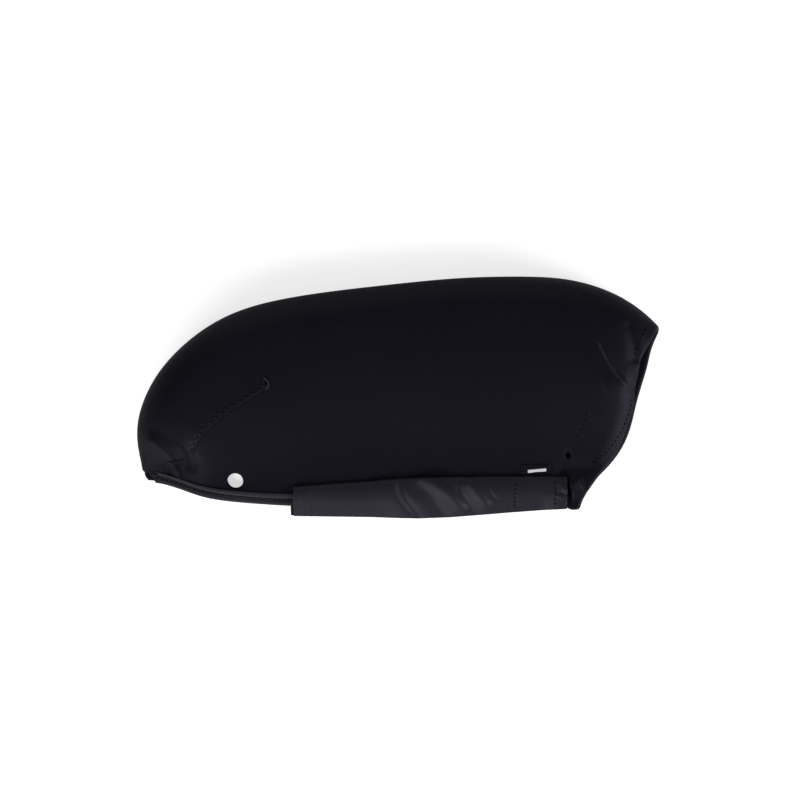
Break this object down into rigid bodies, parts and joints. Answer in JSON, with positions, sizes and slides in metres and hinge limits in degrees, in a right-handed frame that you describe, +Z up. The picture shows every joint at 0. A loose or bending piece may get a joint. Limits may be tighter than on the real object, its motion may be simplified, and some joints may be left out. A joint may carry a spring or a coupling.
{
  "type": "handlebar mitt",
  "caption": "Soft neoprene hand mitt for a handlebar, folded lengthwise, with a hemmed cuff, a bound bar mouth and a nylon closing flap.",
  "frame": {"origin": "middle of the footprint, on the surface the mitt lies on", "axes": "+X along the mitt towards the cuff, +Y from the open edge to the fold, +Z up from the back panel to the front panel"},
  "size_m": [0.4351, 0.2011, 0.0392],
  "materials": {
    "neoprene": "matt black knitted jersey laminated to neoprene foam",
    "binding_tape": "black woven stretch tape",
    "nylon": "dark grey-black plain woven nylon with a soft sheen",
    "hook_tape": "black hook tape",
    "loop_tape": "black loop tape",
    "label": "black satin-woven label with a plain pale bar",
    "thread": "black sewing thread"
  },
  "bodies": {
    "body": {"back_panel": "neoprene", "front_panel": "neoprene", "back_mouth_binding": "binding_tape", "front_mouth_piping": "binding_tape", "cuff_hem": "neoprene", "nose_dart_seam": "binding_tape", "cuff_dart_seam": "binding_tape", "loop_patch": "loop_tape"},
    "lip": {"front_lip": "neoprene", "lip_hem": "neoprene", "woven_label": "label", "inner_tab": "binding_tape", "flap_seam": "nylon", "hem_stitches": "thread", "tab_stitches": "thread"},
    "flap": {"closure_flap": "nylon", "flap_lining": "nylon", "hook_patch": "hook_tape", "flap_stitches": "thread"}
  },
  "joints": [
    {"name": "lip_lift", "type": "hinge", "parent": "body", "child": "lip", "pos_m": [-0.104, -0.076, 0.0153], "axis": [-0.9653, -0.2547, -0.0572], "range_deg": [0, 30]},
    {"name": "flap_peel", "type": "hinge", "parent": "lip", "child": "flap", "pos_m": [-0.0888, -0.0679, 0.0158], "axis": [-0.9998, -0.0206, 0.0017], "range_deg": [0, 115]}
  ]
}
